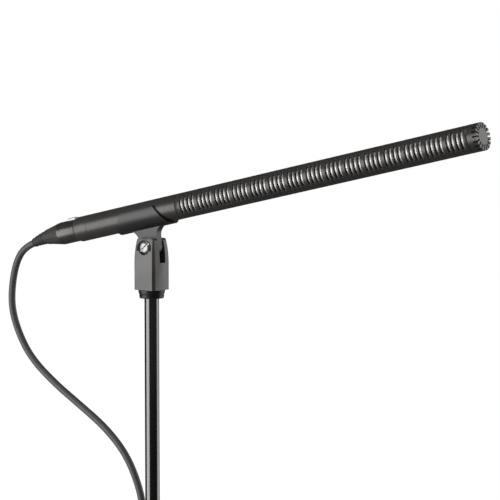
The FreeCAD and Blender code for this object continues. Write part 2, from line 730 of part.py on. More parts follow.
# ---- everything, node by node
POLE_NODES = {
    "butt_cap": butt_cap, "butt_insert": butt_insert, "outer_tube": outer_tube, "lock_body": lock_body,
    "collet": collet, "lock_sleeve": lock_sleeve, "lock_grip": lock_grip, "guide_bush": guide_bush,
    "upper_tube": upper_tube, "tube_end_plug": tube_end_plug, "bush_retainer": bush_retainer,
    "cable_drop": cable_drop, "cable_tail": cable_tail, "cable_hank": cable_hank,
    "hank_strap": hank_strap, "keeper_strap": keeper_strap,
}
YOKE_NODES = {
    "tip_stud": tip_stud, "lock_collar": lock_collar, "yoke": yoke, "yoke_insert": yoke_insert,
    "friction_washers": friction_washers, "pivot_screw": pivot_screw, "pivot_nut": pivot_nut,
}
MIC_NODES = {
    "clip_cradle": clip_cradle, "front_cap": front_cap, "front_screen": front_screen,
    "interference_tube": interference_tube, "mesh_liner": mesh_liner, "damping_tube": damping_tube,
    "capsule_housing": capsule_housing, "clamp_ring": clamp_ring, "diaphragm": diaphragm,
    "spacer_ring": spacer_ring, "backplate": backplate, "backplate_holder": backplate_holder,
    "capsule_contact": capsule_contact, "rear_housing": rear_housing, "circuit_board": board,
    "board_carriers": board_carriers, "board_components": board_components,
    "output_transformer": output_transformer, "socket_insert": socket_insert,
    "socket_pins": socket_pins, "socket_screw": socket_screw, "plug_shell": plug_shell,
    "plug_insert": plug_insert, "plug_contacts": plug_contacts, "latch_tab": latch_tab,
    "latch_spring": latch_spring, "plug_chuck": plug_chuck, "plug_barrel": plug_barrel,
    "plug_boot": plug_boot,
}
LINE_NODES = {
    "line_boot": line_boot, "line_barrel": line_barrel, "line_chuck": line_chuck,
    "line_shell": line_shell, "line_insert": line_insert, "line_pins": line_pins,
}

PLACES = [(POLE_NODES, None), (YOKE_NODES, on_pivot), (MIC_NODES, tilted), (LINE_NODES, at_line_plug)]
for nodes, place in PLACES:
    for name, make in nodes.items():
        save(name, make(), place)
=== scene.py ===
# %% [markdown]
# # A boom pole with a shotgun microphone, finished in Blender
#
# The pole, the swivel clip, the microphone and its lead are already designed to their real sizes. That
# design is loaded first as a fixed frame of separate pieces. Everything below either gives one of those
# pieces its finish, or replaces it with a finer surface in exactly the same place.

import json
import math

import bmesh
import bpy
import numpy as np
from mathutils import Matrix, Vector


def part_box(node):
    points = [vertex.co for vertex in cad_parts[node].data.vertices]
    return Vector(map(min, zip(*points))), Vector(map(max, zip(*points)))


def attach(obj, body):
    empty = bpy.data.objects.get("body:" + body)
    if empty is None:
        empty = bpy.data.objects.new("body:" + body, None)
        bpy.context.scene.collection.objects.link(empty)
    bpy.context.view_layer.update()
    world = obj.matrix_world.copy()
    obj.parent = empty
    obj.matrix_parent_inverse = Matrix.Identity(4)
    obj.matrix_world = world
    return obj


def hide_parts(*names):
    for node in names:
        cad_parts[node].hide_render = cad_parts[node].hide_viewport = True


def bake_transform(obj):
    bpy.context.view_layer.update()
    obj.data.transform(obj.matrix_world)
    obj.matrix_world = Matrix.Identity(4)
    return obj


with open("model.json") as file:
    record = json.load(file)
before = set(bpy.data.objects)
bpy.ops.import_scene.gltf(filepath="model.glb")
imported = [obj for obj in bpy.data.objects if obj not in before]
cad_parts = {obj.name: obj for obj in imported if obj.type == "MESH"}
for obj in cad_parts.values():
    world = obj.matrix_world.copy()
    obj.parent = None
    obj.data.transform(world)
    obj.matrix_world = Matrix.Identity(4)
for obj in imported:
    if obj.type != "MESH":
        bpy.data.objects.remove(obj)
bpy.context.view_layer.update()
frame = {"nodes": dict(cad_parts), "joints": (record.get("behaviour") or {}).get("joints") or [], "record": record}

# %% [markdown]
# ## Where things are
#
# Two straight lines carry nearly all of the object: the pole's axis, which is the frame's Z axis, and the
# microphone's axis, which is tilted. The tilted one is read from the record: the windshield's mount lies on
# the nose and points forwards along it. Shapes are drawn in millimetres along either line, so one small
# function carries points from the microphone's own axis into the frame.

# %% The two axes
MM = 0.001
mounts = {m["name"]: m for m in frame["record"]["mounts"]}
joints = {j["name"]: j for j in frame["joints"]}
nose = np.array(mounts["windshield_seat"]["pos_m"]) / MM
forward = np.array(mounts["windshield_seat"]["axis"])
pivot = np.array(joints["clip_tilt"]["pos_m"]) / MM
aside = np.array([0.0, -1.0, 0.0])
upward = np.cross(-forward, aside)


def box_mm(node):
    """Lowest and highest corner of a piece of the design, in millimetres."""
    return [np.array(corner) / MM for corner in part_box(node)]


def on_pole(points):
    """Leaves points as they are: x and y across the pole, z up it."""
    return points


def on_microphone(points):
    """Carries (x, y, z) to nose + x * aside + y * upward - z * forward: z is the way back from the nose."""
    return nose + points @ np.array([aside, upward, -forward])


def on_line_plug(points):
    """Moves points drawn about the Z axis onto the line plug's axis."""
    return points + np.array([*(np.array(mounts["line_plug"]["pos_m"][:2]) / MM), 0.0])


print("microphone tilted", round(math.degrees(math.asin(forward[2])), 2), "degrees, nose at", nose.round(1))

# %% [markdown]
# ## The camera
#
# A long lens from about a metre and a half away keeps the pole's sides parallel, as in a catalogue picture.
# The camera stands a little above the clip and looks slightly down. It is placed first, because the
# lead has to be put away where this view doesn't reach.

# %% Camera
CAMERA_PLACE = (0.99786, -1.21914, 0.83174)
CAMERA_PITCH, CAMERA_ROLL, CAMERA_TURN = 85.7, 0.0, 36.364
CAMERA_LENS = 138.6

camera = bpy.data.objects.new("camera", bpy.data.cameras.new("camera"))
camera.data.lens = CAMERA_LENS
camera.data.sensor_width = 36.0
camera.location = CAMERA_PLACE
camera.rotation_euler = [math.radians(angle) for angle in (CAMERA_PITCH, CAMERA_ROLL, CAMERA_TURN)]
bpy.context.scene.collection.objects.link(camera)
bpy.context.scene.camera = camera
print("camera at", CAMERA_PLACE)

# %% [markdown]
# ## Nodes written as sums
#
# A procedural finish is arithmetic on a position: so many threads per millimetre, a little noise on top.
# Wiring Math nodes by hand hides that arithmetic. Here a small class stands for one output socket, and
# Python's own operators add the Math nodes, so a pattern reads as a formula.

# %% Shader sums and the one node method
class Signal:
    """One value, colour or vector that flows between shader nodes."""

    def __init__(self, finish, socket):
        self.finish, self.socket = finish, socket

    def __add__(self, other):
        return self.finish.maths("ADD", self, other)

    def __mul__(self, other):
        return self.finish.maths("MULTIPLY", self, other)

    def __sub__(self, other):
        return self.finish.maths("SUBTRACT", self, other)

    def __rsub__(self, other):
        return self.finish.maths("SUBTRACT", other, self)

    __radd__, __rmul__ = __add__, __mul__


class Finish:
    """One material. Its method node adds any node; the other methods are short forms of it."""

    def __init__(self, name, colour, roughness, **fixed):
        self.material = bpy.data.materials.new(name)
        self.material.use_nodes = True
        self.tree = self.material.node_tree
        self.shader = self.tree.nodes["Principled BSDF"]
        self.material.diffuse_color = (*colour, 1.0)
        self.set({"Base Color": (*colour, 1.0), "Roughness": roughness, **fixed})

    def set(self, sockets):
        """Feeds the shader's own sockets with numbers, colours or signals."""
        for name, value in sockets.items():
            self.feed(self.shader.inputs[name], value)

    def feed(self, socket, value):
        if isinstance(value, Signal):
            self.tree.links.new(value.socket, socket)
        else:
            socket.default_value = value

    def node(self, kind, settings=None, inputs=None, output=0):
        """Adds a node, its settings first and then its inputs, and gives one output as a signal."""
        made = self.tree.nodes.new(kind)
        for name, value in (settings or {}).items():
            setattr(made, name, value)
        for name, value in (inputs or {}).items():
            self.feed(made.inputs[name], value)
        return Signal(self, made.outputs[output])

    def maths(self, operation, *values):
        return self.node("ShaderNodeMath", {"operation": operation}, dict(enumerate(values)))

    def place(self, turn=(0.0, 0.0, 0.0), move=(0.0, 0.0, 0.0), stretch=(1.0, 1.0, 1.0)):
        """Object coordinates in metres, moved, turned and stretched by a Mapping node."""
        where = self.node("ShaderNodeTexCoord", output="Object")
        inputs = {"Vector": where, "Location": move, "Rotation": turn, "Scale": stretch}
        return self.node("ShaderNodeMapping", None, inputs)

    def noise(self, scale, detail=2.0, where=None):
        inputs = {"Scale": scale, "Detail": detail, "Vector": where or self.place()}
        return self.node("ShaderNodeTexNoise", None, inputs)

    def ramp(self, value, low, high, at=(0.3, 0.7)):
        """A smooth change from low to high while value goes from at[0] to at[1]."""
        settings = {"interpolation_type": "SMOOTHSTEP"}
        inputs = {"Value": value, "From Min": at[0], "From Max": at[1], "To Min": low, "To Max": high}
        return self.node("ShaderNodeMapRange", settings, inputs)

    def between(self, share, first, second):
        """Mixes two colours by share."""
        inputs = {0: share, 6: (*first, 1.0), 7: (*second, 1.0)}
        return self.node("ShaderNodeMix", {"data_type": "RGBA"}, inputs, output=2)

    def relief(self, height, depth_mm, strength=1.0):
        """Bump from a height of 0 to 1 that stands depth_mm deep."""
        inputs = {"Height": height, "Distance": depth_mm * MM, "Strength": strength}
        self.set({"Normal": self.node("ShaderNodeBump", None, inputs)})


print("node classes ready")

# %% [markdown]
# ## Surfaces worked out with numpy
#
# Almost every piece here is turned, drawn or moulded, so it can be written as a function of two numbers: how
# far along a profile and how far round. The points are worked out as whole arrays, and the faces are only
# the index of each small square of the grid. Merging doubled points closes the seams and poles.

# %% Grids, profiles and finished objects
def grid_faces(rows, columns, wrap_rows=False, wrap_columns=False):
    """Corners of every small square of a grid: (i, j), (i, j + 1), (i + 1, j + 1), (i + 1, j)."""
    i = np.arange(rows if wrap_rows else rows - 1)
    j = np.arange(columns if wrap_columns else columns - 1)
    i, j = np.meshgrid(i, j, indexing="ij")
    after_i, after_j = (i + 1) % rows, (j + 1) % columns
    corners = [i * columns + j, i * columns + after_j, after_i * columns + after_j, after_i * columns + j]
    return np.stack(corners, axis=-1).reshape(-1, 4)


def solid(name, points, faces, sharp_degrees=38.0):
    """Object from points in millimetres and four-cornered faces, closed, facing outwards and smooth."""
    mesh = bpy.data.meshes.new(name)
    mesh.from_pydata((points.reshape(-1, 3) * MM).tolist(), [], faces.tolist())
    shape = bmesh.new()
    shape.from_mesh(mesh)
    bmesh.ops.remove_doubles(shape, verts=shape.verts, dist=2e-6)
    bmesh.ops.recalc_face_normals(shape, faces=shape.faces)
    shape.to_mesh(mesh)
    shape.free()
    mesh.polygons.foreach_set("use_smooth", np.ones(len(mesh.polygons), bool))
    mesh.set_sharp_from_angle(angle=math.radians(sharp_degrees))
    made = bpy.data.objects.new(name, mesh)
    bpy.context.scene.collection.objects.link(made)
    return made


def rounded(corners, steps=5):
    """Outline through (radius, height, fillet) corners, each turned into an arc of that fillet."""
    corners = np.array(corners, float)
    outline = []
    for corner, before, after in zip(corners, np.roll(corners, 1, 0), np.roll(corners, -1, 0)):
        middle, fillet = corner[:2], corner[2]
        if fillet == 0:
            outline.append(middle[None])
            continue
        back = (before[:2] - middle) / np.linalg.norm(before[:2] - middle)
        ahead = (after[:2] - middle) / np.linalg.norm(after[:2] - middle)
        half = math.acos(np.clip(back @ ahead, -1, 1)) / 2
        centre = middle + (back + ahead) / np.linalg.norm(back + ahead) * fillet / math.sin(half)
        first = middle + back * fillet / math.tan(half) - centre
        last = middle + ahead * fillet / math.tan(half) - centre
        start = math.atan2(first[1], first[0])
        sweep = (math.atan2(last[1], last[0]) - start + math.pi) % (2 * math.pi) - math.pi
        angles = start + sweep * np.linspace(0, 1, steps)
        outline.append(centre + fillet * np.stack([np.cos(angles), np.sin(angles)], axis=1))
    return np.concatenate(outline)


def revolved(outline, turns=96, swell=None):
    """Points of an outline carried round an axis: (r cos a, r sin a, z) for each angle a.

    swell, where given, is a function of (r, z, a) that returns a new r, for ribs and grooves.
    """
    angle = np.linspace(0, 2 * math.pi, turns, endpoint=False)
    r, a = np.meshgrid(outline[:, 0], angle, indexing="ij")
    z = np.repeat(outline[:, 1:2], turns, axis=1)
    if swell is not None:
        r = swell(r, z, a)
    return np.stack([r * np.cos(a), r * np.sin(a), z], axis=-1)


def lathe(name, corners, where=on_pole, turns=96, swell=None):
    """Closed turned piece from the rounded outline of its section."""
    grid = revolved(rounded(corners), turns, swell)
    return solid(name, where(grid.reshape(-1, 3)), grid_faces(*grid.shape[:2], True, True))


made_pieces = []


def fit_in(piece, body, slot, *nodes):
    """Gives a new piece its finish, lets it ride on its body, and retires the nodes it stands for."""
    piece.data.materials.clear()
    piece.data.materials.append(finishes[slot].material)
    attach(piece, body)
    if nodes:
        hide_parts(*nodes)
    made_pieces.append(piece.name)
    return piece


print("surface helpers ready")

# %% [markdown]
# ## Finishes
#
# Each slot of the record gets one material. They share a few habits: a slow noise moves the colour a little,
# a faster one moves the roughness, and a fine relief gives the surface its grain. None of them needs an
# image, so they are sharp at any distance.

# %% Painted tubes and rubber
finishes = {}


def pole_black():
    """Polished black enamel on the tubes, with faint rubbing along them."""
    lacquer = {"IOR": 1.75, "Coat Weight": 0.5, "Coat Roughness": 0.06}
    finish = Finish("pole_black", (0.006, 0.006, 0.0065), 0.16, **lacquer)
    rubbing = finish.noise(320.0, 3.0, finish.place(stretch=(1.0, 1.0, 0.06)))
    cloud = finish.noise(24.0, 3.0)
    finish.set({"Roughness": finish.ramp(rubbing, 0.14, 0.16) + cloud * 0.02,
                "Base Color": finish.between(cloud, (0.005, 0.0048, 0.0045), (0.011, 0.0105, 0.010))})
    finish.relief(cloud, 0.004, 0.15)
    return finish


def black_rubber():
    """Matt moulded rubber with a fine speckle."""
    finish = Finish("black_rubber", (0.03, 0.03, 0.03), 0.62, **{"Specular IOR Level": 0.42})
    speckle = finish.noise(2600.0, 3.0)
    cloud = finish.noise(60.0, 3.0)
    finish.set({"Base Color": finish.between(cloud, (0.022, 0.021, 0.02), (0.052, 0.05, 0.047)),
                "Roughness": finish.ramp(speckle, 0.5, 0.74)})
    finish.relief(speckle, 0.03, 0.6)
    return finish


def lead_jacket():
    """Soft dull jacket of the microphone lead, wiped by hands."""
    finish = Finish("lead_jacket", (0.07, 0.07, 0.068), 0.5, **{"Specular IOR Level": 0.5})
    grain = finish.noise(1500.0, 4.0)
    cloud = finish.noise(38.0, 3.0)
    finish.set({"Base Color": finish.between(cloud, (0.05, 0.05, 0.048), (0.09, 0.09, 0.086)),
                "Roughness": finish.ramp(grain, 0.42, 0.6)})
    finish.relief(grain, 0.010, 0.35)
    return finish


print("paint, rubber and jacket written")

# %% [markdown]
# ## Moulded plastics
#
# The clip and its yoke come out of an etched mould, which leaves a satin skin of tiny pebbles. A picture of
# grain could stand for it, but a noise needs no picture and has no seam. The plastics share one function, and
# only their colour, gloss and grain differ.

# %% Moulded plastics
def moulded(name, dark, light, roughness, grain=2200.0, depth_mm=0.018):
    """Satin plastic from an etched mould: a fine pebble relief and a slow drift of colour."""
    finish = Finish(name, light, roughness, **{"Specular IOR Level": 0.5})
    pebble = finish.noise(grain, 2.0)
    cloud = finish.noise(45.0, 3.0)
    finish.set({"Base Color": finish.between(finish.ramp(cloud, 0.0, 1.0), dark, light),
                "Roughness": roughness - 0.06 + pebble * 0.12})
    finish.relief(pebble, depth_mm, 0.5)
    return finish


def yoke_plastic():
    return moulded("yoke_plastic", (0.050, 0.048, 0.045), (0.082, 0.079, 0.074), 0.36)


def clip_plastic():
    return moulded("clip_plastic", (0.014, 0.0135, 0.013), (0.024, 0.023, 0.022), 0.40, depth_mm=0.010)


def insulator():
    return moulded("insulator", (0.010, 0.010, 0.011), (0.022, 0.022, 0.024), 0.48)


def white_nylon():
    return moulded("white_nylon", (0.62, 0.60, 0.55), (0.78, 0.77, 0.72), 0.45, 900.0)


def component_mix():
    return moulded("component_mix", (0.012, 0.012, 0.015), (0.05, 0.05, 0.06), 0.30, 1400.0, 0.01)


def board_green():
    """Green solder mask over copper tracks that show as slightly raised lighter lines."""
    finish = Finish("board_green", (0.02, 0.16, 0.07), 0.3, **{"Coat Weight": 0.4})
    where = finish.place(turn=(0.0, math.asin(forward[2]), 0.0))
    brick = {"Scale": 420.0, "Mortar Size": 0.035, "Vector": where}
    tracks = finish.node("ShaderNodeTexBrick", None, brick, output="Fac")
    finish.set({"Base Color": finish.between(tracks, (0.012, 0.11, 0.045), (0.05, 0.26, 0.11))})
    finish.relief(tracks, 0.03, 0.5)
    return finish


print("plastics written")

# %% [markdown]
# ## Metals
#
# A metal is known by its reflections, so its colour hardly changes and its roughness does the work. Drawn and
# turned parts keep fine lines from the tool, and a noise stretched along the tool's path gives them. One
# function serves the plain metals. The enamel and the woven mesh are written out on their own.

# %% Metals
def metal(name, dark, light, roughness, rub=(1.0, 1.0, 1.0), depth_mm=0.004, grain=900.0):
    """Bare or plated metal: its grain is stretched where it was drawn or turned."""
    finish = Finish(name, light, roughness, Metallic=1.0)
    grain_lines = finish.noise(grain, 3.0, finish.place(stretch=rub))
    cloud = finish.noise(55.0, 3.0)
    finish.set({"Base Color": finish.between(finish.ramp(cloud, 0.0, 1.0), dark, light),
                "Roughness": roughness - 0.05 + grain_lines * 0.12})
    finish.relief(grain_lines, depth_mm, 0.5)
    return finish


def bright_nickel():
    return metal("bright_nickel", (0.21, 0.206, 0.20), (0.27, 0.266, 0.256), 0.36, depth_mm=0.0006)


def brass():
    return metal("brass", (0.52, 0.36, 0.14), (0.74, 0.56, 0.26), 0.28, (1.0, 1.0, 6.0))


def capsule_brass():
    return metal("capsule_brass", (0.55, 0.44, 0.22), (0.76, 0.64, 0.38), 0.25)


def gold_foil():
    return metal("gold_foil", (0.80, 0.55, 0.18), (0.92, 0.72, 0.34), 0.14, grain=300.0)


def contact_gold():
    return metal("contact_gold", (0.78, 0.54, 0.20), (0.92, 0.72, 0.36), 0.2)


def core_steel():
    return metal("core_steel", (0.30, 0.30, 0.31), (0.50, 0.50, 0.52), 0.36, (8.0, 1.0, 1.0))


def anodised_black():
    finish = metal("anodised_black", (0.018, 0.018, 0.020), (0.040, 0.040, 0.044), 0.36, (1.0, 1.0, 10.0))
    finish.set({"Metallic": 0.55})
    return finish


def plug_metal():
    """Dark satin nickel on both connector shells."""
    finish = metal("plug_metal", (0.062, 0.058, 0.054), (0.090, 0.085, 0.079), 0.30, (1.0, 4.0, 1.0), 0.0004)
    finish.set({"Metallic": 0.7})
    return finish


def mic_enamel():
    """Satin grey-brown enamel of the microphone, with a very fine orange peel and a few rubbed spots."""
    finish = Finish("mic_enamel", (0.045, 0.043, 0.040), 0.36, Metallic=0.45)
    peel = finish.noise(1900.0, 2.0)
    cloud = finish.noise(36.0, 4.0)
    rubbed = finish.ramp(finish.noise(190.0, 5.0), 0.0, 1.0, (0.62, 0.74))
    patches = cloud + rubbed * 0.35
    finish.set({"Base Color": finish.between(patches, (0.044, 0.0415, 0.0385), (0.078, 0.0745, 0.069)),
                "Roughness": 0.32 + peel * 0.08 - rubbed * 0.08})
    finish.relief(peel, 0.012, 0.5)
    return finish


def silver_mesh():
    """Fine woven wire behind the slots.

    Threads run along the microphone and round it. Each is a raised half wave, and the two sets pass over
    and under each other because their heights are multiplied by waves in opposite step.
    """
    finish = Finish("silver_mesh", (0.70, 0.69, 0.66), 0.44, Metallic=1.0)
    thread_pitch, mesh_radius = 0.7 * MM, 9.25 * MM
    wave = 2 * math.pi / thread_pitch
    where = finish.place(turn=(0.0, math.asin(forward[2]), 0.0))
    split = finish.node("ShaderNodeSeparateXYZ", None, {"Vector": where})
    x, y, z = (Signal(finish, split.socket.node.outputs[axis]) for axis in "XYZ")
    axis_level = float(nose @ upward) * MM
    around = finish.maths("ARCTAN2", y, z - axis_level) * mesh_radius
    along_thread = finish.maths("SINE", x * wave)
    round_thread = finish.maths("SINE", around * wave)
    weave = finish.maths("ABSOLUTE", along_thread) * finish.maths("ABSOLUTE", round_thread)
    # The colour darkens where the weave sinks between the threads: painted shade in the hollows of the mesh.
    finish.set({"Base Color": finish.between(weave, (0.80, 0.79, 0.76), (0.46, 0.45, 0.43)),
                "Roughness": 0.42 + weave * 0.16})
    finish.relief(1.0 - weave, 0.05, 0.45)
    return finish


print("metals, enamel and mesh written")

# %% [markdown]
# ## Cloths
#
# A hook and loop strap is a mat of loops, and felt is a mat of fibres. Modelling every fibre would cost far
# more than it shows, so both are a rough surface with a deep, fine relief and a little sheen.

# %% Cloths
def hook_and_loop():
    """Black hook and loop strap: a ribbed weave under a mat of tiny loops."""
    finish = Finish("hook_and_loop", (0.016, 0.016, 0.017), 0.9, **{"Sheen Weight": 0.35})
    loops = finish.noise(3200.0, 4.0)
    ribs = finish.node("ShaderNodeTexWave", {"bands_direction": "Z"}, {"Scale": 620.0, "Distortion": 1.2,
                                                                       "Vector": finish.place()})
    finish.set({"Base Color": finish.between(loops, (0.008, 0.008, 0.009), (0.036, 0.036, 0.038))})
    finish.relief(loops * 0.7 + ribs * 0.3, 0.22, 0.9)
    return finish


def grey_felt():
    """Damping felt inside the slotted tube."""
    finish = Finish("grey_felt", (0.25, 0.25, 0.25), 0.95, **{"Sheen Weight": 0.3})
    fibres = finish.noise(1800.0, 6.0)
    finish.set({"Base Color": finish.between(fibres, (0.14, 0.14, 0.14), (0.36, 0.36, 0.36))})
    finish.relief(fibres, 0.3, 0.9)
    return finish


print("cloths written")

# %% [markdown]
# ## A finish for each piece
#
# The record names a finish for every piece of the design. Each finish is made once, and a loop hands it to
# all the pieces that share it.

# %% Give every piece of the design its finish
MAKERS = [pole_black, black_rubber, lead_jacket, yoke_plastic, clip_plastic, insulator, white_nylon,
          component_mix, board_green, bright_nickel, brass, capsule_brass, gold_foil, contact_gold,
          core_steel, anodised_black, plug_metal, mic_enamel, silver_mesh, hook_and_loop, grey_felt]
for maker in MAKERS:
    finishes[maker.__name__] = maker()
for subpart in frame["record"]["subparts"]:
    node = frame["nodes"][subpart["node"]]
    node.data.materials.clear()
    node.data.materials.append(finishes[subpart["material_slot"]].material)
print("finishes", len(finishes))

# %% [markdown]
# ## Softened edges
#
# No moulded or machined edge is perfectly sharp: it is a thin line that catches the light. Where a piece of
# the design has the right shape, a copy of it is merged into one skin, its flat faces are joined up, and a
# narrow bevel rounds every edge that turns by more than the limit.

# %% Copies of the design with rounded edges
def softened(name, node, body, slot, width, least_turn=28.0):
    """A copy of a design piece whose sharp edges are rounded to the given width in millimetres."""
    mesh = frame["nodes"][node].data.copy()
    shape = bmesh.new()
    shape.from_mesh(mesh)
    bmesh.ops.remove_doubles(shape, verts=shape.verts, dist=2e-6)
    bmesh.ops.dissolve_limit(shape, angle_limit=math.radians(0.4), verts=shape.verts, edges=shape.edges)
    shape.to_mesh(mesh)
    shape.free()
    mesh.polygons.foreach_set("use_smooth", np.ones(len(mesh.polygons), bool))
    mesh.set_sharp_from_angle(angle=math.radians(least_turn))
    made = bpy.data.objects.new(name, mesh)
    bpy.context.scene.collection.objects.link(made)
    bevel = made.modifiers.new("rounding", "BEVEL")
    bevel.width, bevel.segments = width * MM, 2
    bevel.limit_method, bevel.angle_limit = "ANGLE", math.radians(least_turn)
    bevel.harden_normals = True
    return fit_in(made, body, slot, node)


SOFTENED = [("yoke_body", "yoke", "upper_pole", "yoke_plastic", 0.35),
            ("clip_body", "clip_cradle", "microphone", "clip_plastic", 0.30),
            ("nose_cap", "front_cap", "microphone", "mic_enamel", 0.12),
            ("screw", "pivot_screw", "pivot_screw", "bright_nickel", 0.15),
            ("nut", "pivot_nut", "upper_pole", "bright_nickel", 0.25),
            ("plug_sleeve", "plug_shell", "microphone", "plug_metal", 0.25),
            ("thumb_tab", "latch_tab", "latch", "bright_nickel", 0.15)]
for piece in SOFTENED:
    softened(*piece)
print("softened", [piece[0] for piece in SOFTENED])

# %% [markdown]
# ## The slotted tube
#
# A shotgun microphone works through its slots, and they are what the eye reads first. The tube repeats one
# tile: a slot with its share of the wall round it. A tile is worked out as rings. The innermost ring is the
# slot's edge on the bore, the next ones climb the slot's side and roll over its lip, and the outermost is
# the tile's own rectangle, whose points its neighbours share. Merging them closes the whole tube.

# %% Slotted tube
TUBE_RADIUS, TUBE_BORE = 10.5, 9.3
TUBE_START, TUBE_END = 8.02, 283.0
SLOT_GROUPS, SLOTS_IN_GROUP = 15, 4
FIRST_SLOT, SLOT_PITCH, GROUP_PITCH = 12.5, 4.0, 18.0
SLOT_HALF_WIDTH, SLOT_HALF_LENGTH = 1.1, 7.88
LONG_STEPS, END_STEPS = 20, 4


def slot_outline(grow):
    """Stadium of (along, round) distances: two straight sides and two half circle ends, grown by grow."""
    radius = SLOT_HALF_WIDTH + grow
    straight = SLOT_HALF_LENGTH - SLOT_HALF_WIDTH
    side = np.linspace(-straight, straight, LONG_STEPS + 1)
    turn = np.linspace(0, math.pi, END_STEPS + 1)[1:-1]
    one_side = np.column_stack([np.full(LONG_STEPS + 1, radius), side])
    one_end = np.column_stack([radius * np.cos(turn), straight + radius * np.sin(turn)])
    half = np.concatenate([one_side, one_end])
    return np.concatenate([half, -half])


def tile_outline():
    """Rectangle of one tile, with as many points on each side as the slot's outline has."""
    reach = TUBE_RADIUS * math.pi / 2
    side = np.linspace(-reach, reach, LONG_STEPS + 1)
    across = np.linspace(SLOT_PITCH / 2, -SLOT_PITCH / 2, END_STEPS + 1)[1:-1]
    one_side = np.column_stack([np.full(LONG_STEPS + 1, SLOT_PITCH / 2), side])
    one_end = np.column_stack([across, np.full(END_STEPS - 1, reach)])
    half = np.concatenate([one_side, one_end])
    return np.concatenate([half, -half])


def tile_rings():
    """Rings of one tile as (along, angle, radius), from the bore's face round the lip to the outside."""
    edge, lip = tile_outline(), slot_outline(0.28)
    rings = [(edge, TUBE_BORE), (slot_outline(0.0), TUBE_BORE), (slot_outline(0.0), TUBE_RADIUS - 0.28),
             (slot_outline(0.08), TUBE_RADIUS - 0.08), (lip, TUBE_RADIUS),
             (lip + (edge - lip) * 0.4, TUBE_RADIUS), (edge, TUBE_RADIUS)]
    return np.array([np.column_stack([ring[:, 0], ring[:, 1] / TUBE_RADIUS, np.full(len(ring), radius)])
                     for ring, radius in rings])


def on_tube(along, angle, radius):
    """Point at a distance along the tube, an angle from its side, and a radius: (r cos a, r sin a, along)."""
    return np.stack([radius * np.cos(angle), radius * np.sin(angle), along], axis=-1)


def plain_band(start, end, close=None):
    """Short piece of tube without slots, outside and bore; close is the end that gets its flat face."""
    angle = np.arange(2 * LONG_STEPS) * math.pi / LONG_STEPS + math.pi / 2
    section = [(TUBE_BORE, start), (TUBE_BORE, end), (TUBE_RADIUS, end), (TUBE_RADIUS, start)]
    if close == "start":
        section = [(TUBE_RADIUS, end), (TUBE_RADIUS, start + 0.25), (TUBE_RADIUS - 0.25, start),
                   (TUBE_BORE, start), (TUBE_BORE, end)]
    if close == "end":
        section = [(TUBE_BORE, start), (TUBE_BORE, end), (TUBE_RADIUS - 0.25, end),
                   (TUBE_RADIUS, end - 0.25), (TUBE_RADIUS, start)]
    section = np.array(section)
    grid = on_tube(section[:, 1:2] + 0 * angle, angle[None] + 0 * section[:, :1], section[:, :1] + 0 * angle)
    faces = grid_faces(*grid.shape[:2], False, True)
    if close is None:
        faces = faces.reshape(3, -1, 4)[[0, 2]].reshape(-1, 4)
    return grid.reshape(-1, 3), faces


def slotted_tube():
    rings = tile_rings()
    group, index, side = np.meshgrid(np.arange(SLOT_GROUPS), np.arange(SLOTS_IN_GROUP), [0, 1], indexing="ij")
    middles = (FIRST_SLOT + GROUP_PITCH * group + SLOT_PITCH * index).ravel()
    turns = (side * math.pi).ravel()
    along = rings[None, :, :, 0] + middles[:, None, None]
    angle = rings[None, :, :, 1] + turns[:, None, None]
    tiles = on_tube(along, angle, rings[None, :, :, 2] + 0 * along)
    one = grid_faces(*rings.shape[:2], False, True)
    starts = np.arange(len(middles)) * rings.shape[0] * rings.shape[1]
    points, faces = [tiles.reshape(-1, 3)], [(one[None] + starts[:, None, None]).reshape(-1, 4)]
    lows = FIRST_SLOT - SLOT_PITCH / 2 + GROUP_PITCH * np.arange(SLOT_GROUPS)
    highs = lows + SLOTS_IN_GROUP * SLOT_PITCH
    bands = [(TUBE_START, lows[0], "start"), (highs[-1], TUBE_END, "end")]
    bands += [(low, high, None) for low, high in zip(highs[:-1], lows[1:])]
    for band in bands:
        more, squares = plain_band(*band)
        faces.append(squares + sum(len(p) for p in points))
        points.append(more)
    return solid("slotted_tube", on_microphone(np.concatenate(points)), np.concatenate(faces), 50.0)


slotted = fit_in(slotted_tube(), "microphone", "mic_enamel", "interference_tube")
print("slotted tube faces", len(slotted.data.polygons))

# %% [markdown]
# ## Turned pieces
#
# Tubes, the lock, the connector barrels and the boots are all lathe work. Each is the outline of its
# section, with a small fillet at every corner, carried round its axis. Ribs and grooves are a swell: a
# function that moves the radius in and out as the outline goes round.

# %% Tubes, lock and collar
def ring_corners(outer, inner, low, high, fillet=0.25, inside=0.12):
    """Section of a plain tube."""
    return [(outer, low, fillet), (outer, high, fillet), (inner, high, inside), (inner, low, inside)]


def turned_piece(name, node, body, slot, corners, **shape):
    return fit_in(lathe(name, corners, **shape), body, slot, node)


upper_low, upper_high = (corner[2] for corner in box_mm("upper_tube"))
outer_low, outer_high = (corner[2] for corner in box_mm("outer_tube"))
lock_low, lock_high = (corner[2] for corner in box_mm("lock_body"))
sleeve_low, sleeve_high = (corner[2] for corner in box_mm("lock_sleeve"))
grip_low, grip_high = (corner[2] for corner in box_mm("lock_grip"))
collar_low, collar_high = (corner[2] for corner in box_mm("lock_collar"))
cap_high = box_mm("butt_cap")[1][2]

